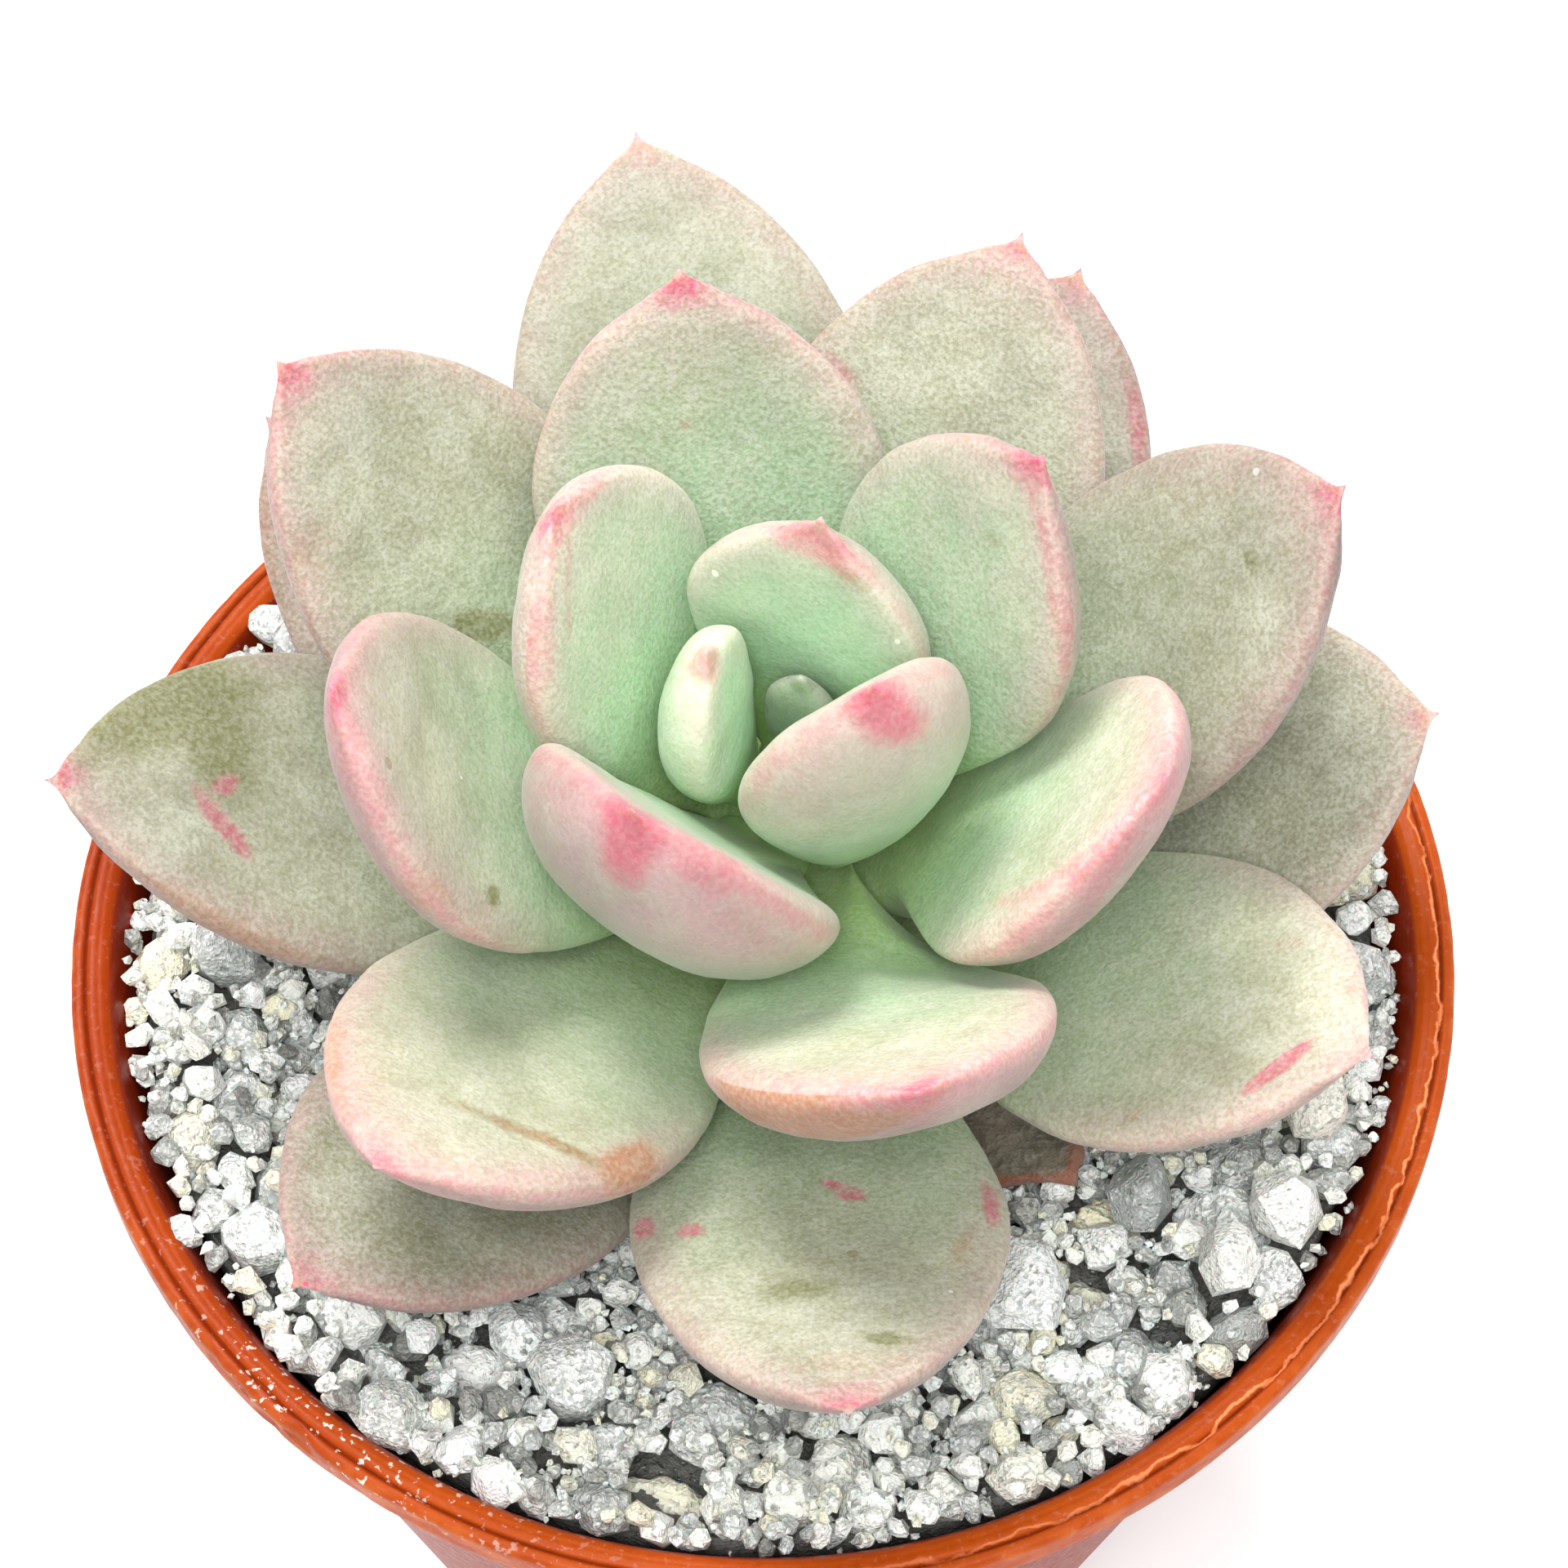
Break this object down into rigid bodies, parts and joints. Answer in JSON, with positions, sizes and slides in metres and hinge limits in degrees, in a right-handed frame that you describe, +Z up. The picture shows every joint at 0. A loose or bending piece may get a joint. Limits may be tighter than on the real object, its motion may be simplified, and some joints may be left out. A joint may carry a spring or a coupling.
{
  "type": "potted succulent",
  "caption": "Small rosette succulent with thick spoon-shaped, pink-edged leaves, growing in grit-topped potting mix in a thin round plastic nursery pot.",
  "frame": {"origin": "centre of the pot's flat underside", "axes": "+Z up along the pot's axis, -Y towards the side that the rosette leans to"},
  "size_m": [0.055, 0.0564, 0.0743],
  "materials": {
    "pot_plastic": "satin moulded terracotta-coloured plastic",
    "potting_mix": "crumbly dark potting mix",
    "grit": "crushed white and grey mineral grit",
    "stone": "rough broken stone",
    "stem_skin": "matt green-brown skin",
    "young_leaf": "smooth waxy leaf with pink margin",
    "grown_leaf": "waxy leaf with powdery bloom and pink margin",
    "withered_leaf": "dry wrinkled leaf"
  },
  "bodies": {
    "root": {"pot": "pot_plastic", "potting_mix": "potting_mix", "grit_bed": "grit", "stem": "stem_skin", "leaf_00": "young_leaf", "leaf_01": "young_leaf", "leaf_02": "young_leaf", "leaf_03": "young_leaf", "leaf_04": "young_leaf", "leaf_05": "young_leaf", "leaf_06": "young_leaf", "leaf_07": "grown_leaf", "leaf_09": "grown_leaf", "leaf_10": "grown_leaf", "leaf_11": "grown_leaf", "leaf_12": "grown_leaf", "leaf_13": "grown_leaf", "leaf_14": "grown_leaf", "leaf_15": "grown_leaf", "leaf_16": "grown_leaf", "leaf_17": "grown_leaf", "leaf_18": "grown_leaf", "leaf_19": "grown_leaf", "leaf_20": "grown_leaf", "leaf_21": "grown_leaf", "leaf_22": "grown_leaf", "leaf_23": "withered_leaf", "leaf_24": "grown_leaf", "grit_stone_01": "stone", "grit_stone_02": "stone", "grit_stone_03": "stone", "grit_stone_04": "stone", "grit_stone_05": "stone", "grit_stone_06": "stone", "grit_stone_07": "stone", "grit_stone_08": "stone", "grit_stone_09": "stone", "grit_stone_10": "stone", "grit_stone_11": "stone", "grit_stone_12": "stone", "grit_stone_13": "stone", "grit_stone_14": "stone"}
  },
  "joints": []
}
